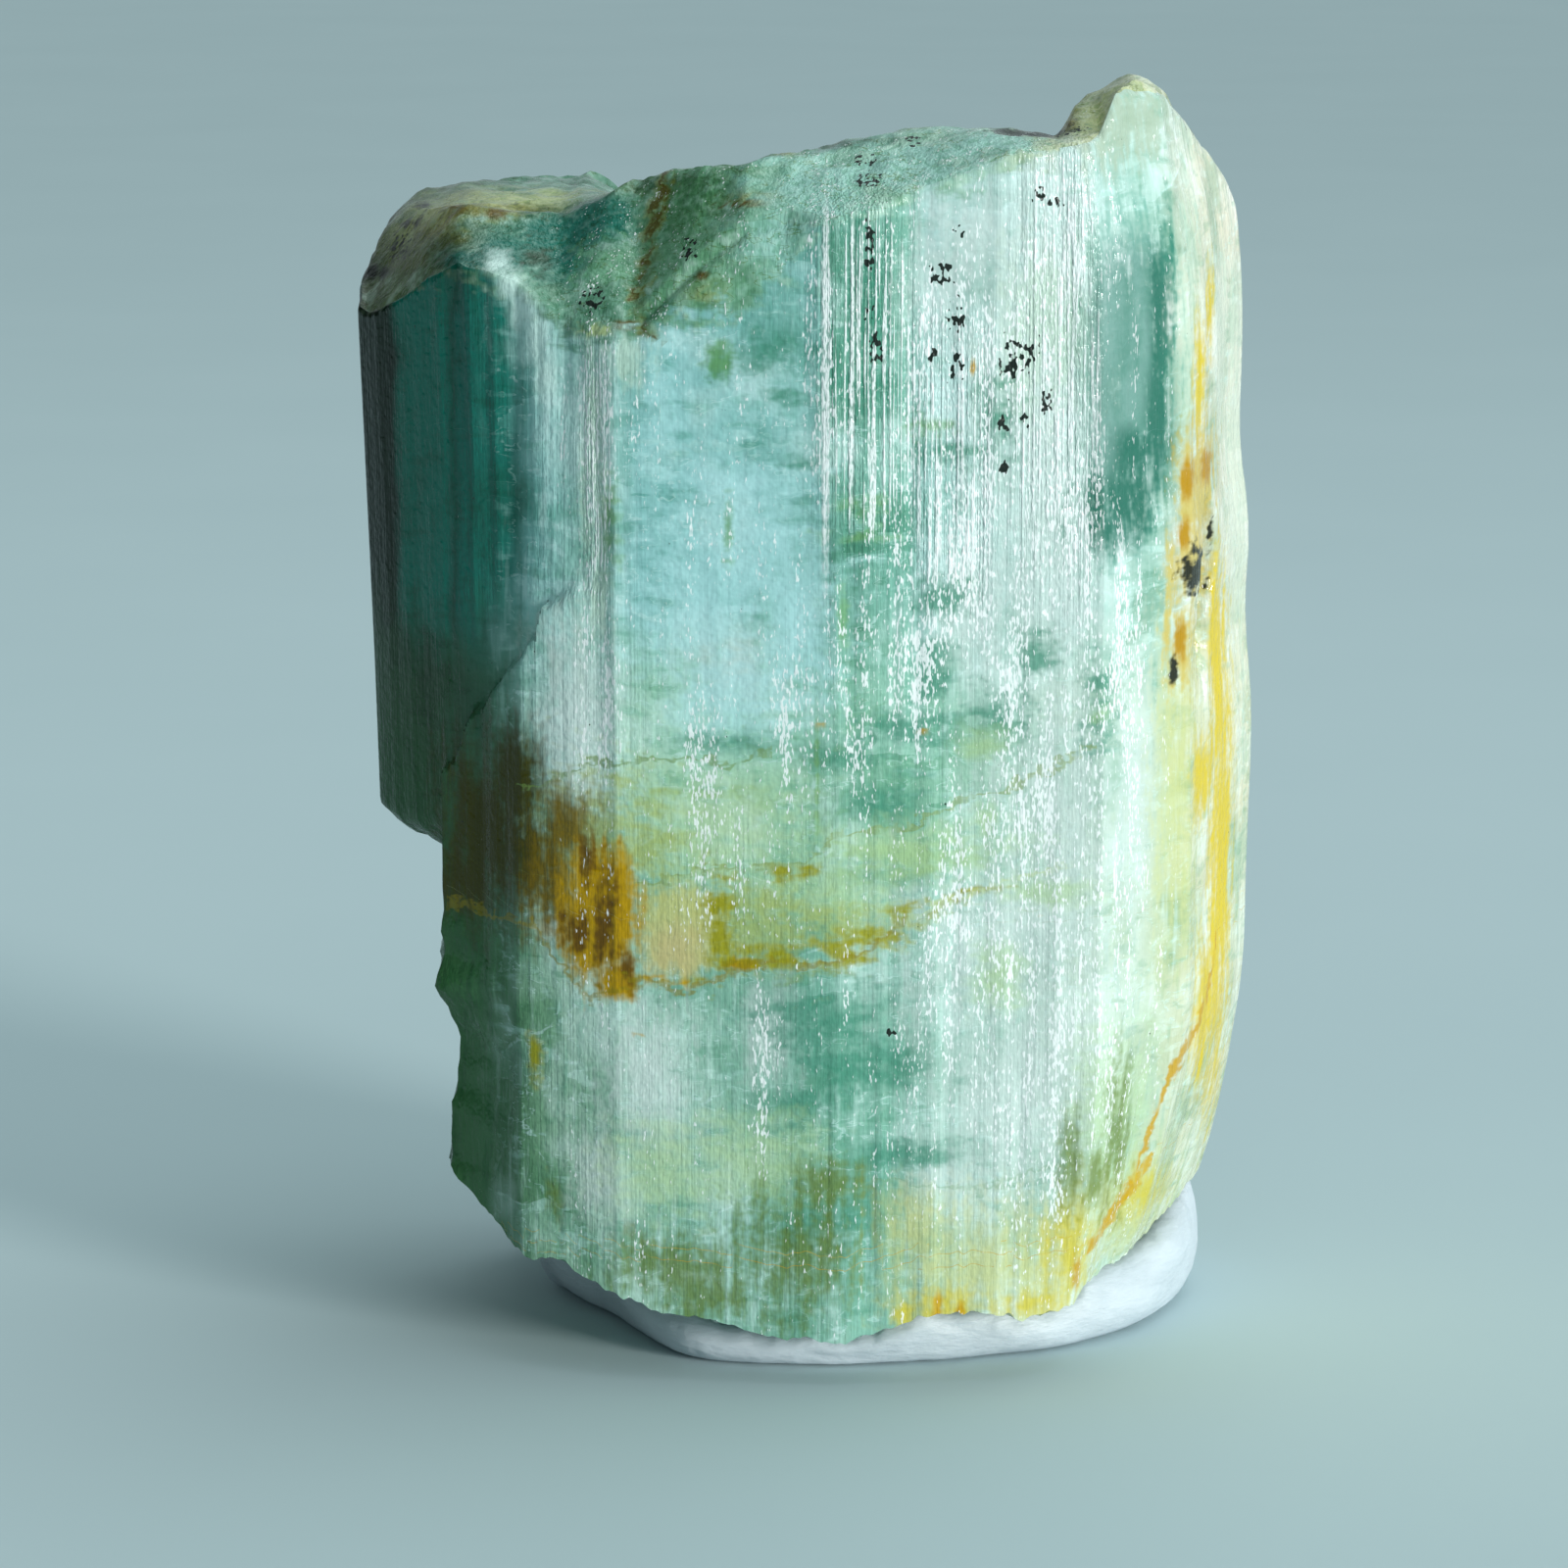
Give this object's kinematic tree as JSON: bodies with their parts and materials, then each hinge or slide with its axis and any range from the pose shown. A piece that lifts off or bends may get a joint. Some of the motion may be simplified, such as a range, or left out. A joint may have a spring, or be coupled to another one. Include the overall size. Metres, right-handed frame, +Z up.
{
  "type": "aquamarine crystal",
  "caption": "Stout blue-green beryl prism with striped faces, broken ends and a slimmer crystal grown beside it, standing upright in a low lump of white putty.",
  "frame": {"origin": "middle of the bounding box in plan, at the height of the putty's flat underside", "axes": "+Z up along the prism; -Y towards the broad striped face that the picture shows; +X towards the smooth swelling side with the pocket"},
  "size_m": [0.0416, 0.0274, 0.0591],
  "materials": {
    "beryl": "glassy, with upright stripes",
    "putty": "matt"
  },
  "bodies": {
    "root": {"aquamarine_crystal": "beryl", "mounting_putty": "putty"}
  },
  "joints": []
}
